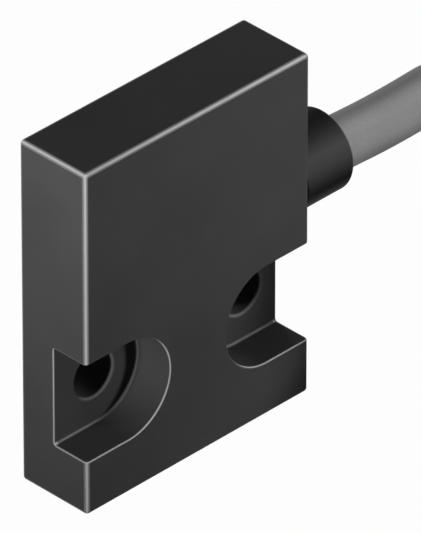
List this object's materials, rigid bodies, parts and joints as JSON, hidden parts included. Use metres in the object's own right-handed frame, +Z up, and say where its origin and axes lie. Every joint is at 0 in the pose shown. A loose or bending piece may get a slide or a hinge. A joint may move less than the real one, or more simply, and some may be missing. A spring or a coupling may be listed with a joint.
{
  "type": "position sensor",
  "caption": "Flat rectangular position sensor with two side-open screw slots and a cable that leaves through a round sleeve in its side.",
  "frame": {"origin": "middle of the housing's lower end, on the surface it stands on", "axes": "+X along the width towards the cable outlet, +Y from the sensing front to the mounting back, +Z up along the height"},
  "size_m": [0.1044, 0.0671, 0.035],
  "materials": {
    "housing_plastic": "fine moulded texture",
    "cover_plastic": "fine moulded texture",
    "resin": "cast",
    "board_laminate": "solder mask",
    "chip_plastic": "moulded",
    "ceramic": "fired",
    "sleeve_rubber": "moulded",
    "crimp_brass": "plain",
    "cable_jacket": "extruded",
    "nylon": "moulded",
    "core_brown": "extruded",
    "core_white": "extruded",
    "core_blue": "extruded",
    "core_black": "extruded",
    "tinned_copper": "tinned",
    "solder": "bright"
  },
  "bodies": {
    "root": {"housing": "housing_plastic", "back_cover": "cover_plastic", "potting_resin": "resin", "circuit_board": "board_laminate", "sensing_chip": "chip_plastic", "signal_processor": "chip_plastic", "voltage_regulator": "chip_plastic", "surge_diode": "chip_plastic", "reverse_diode": "chip_plastic", "supply_capacitor": "ceramic", "filter_capacitor": "ceramic", "output_capacitor": "ceramic", "bias_resistor": "ceramic", "output_resistor": "ceramic", "ferrite_bead": "ceramic", "cable_grommet": "sleeve_rubber", "crimp_ring": "crimp_brass", "cable": "cable_jacket", "cable_coil": "cable_jacket", "cable_tie_1": "nylon", "cable_tie_2": "nylon", "inner_core_brown": "core_brown", "end_core_brown": "core_brown", "inner_conductor_brown": "tinned_copper", "end_conductor_brown": "tinned_copper", "solder_joint_brown": "solder", "inner_core_white": "core_white", "end_core_white": "core_white", "inner_conductor_white": "tinned_copper", "end_conductor_white": "tinned_copper", "solder_joint_white": "solder", "inner_core_blue": "core_blue", "end_core_blue": "core_blue", "inner_conductor_blue": "tinned_copper", "end_conductor_blue": "tinned_copper", "solder_joint_blue": "solder", "inner_core_black": "core_black", "end_core_black": "core_black", "inner_conductor_black": "tinned_copper", "end_conductor_black": "tinned_copper", "solder_joint_black": "solder"}
  },
  "joints": []
}
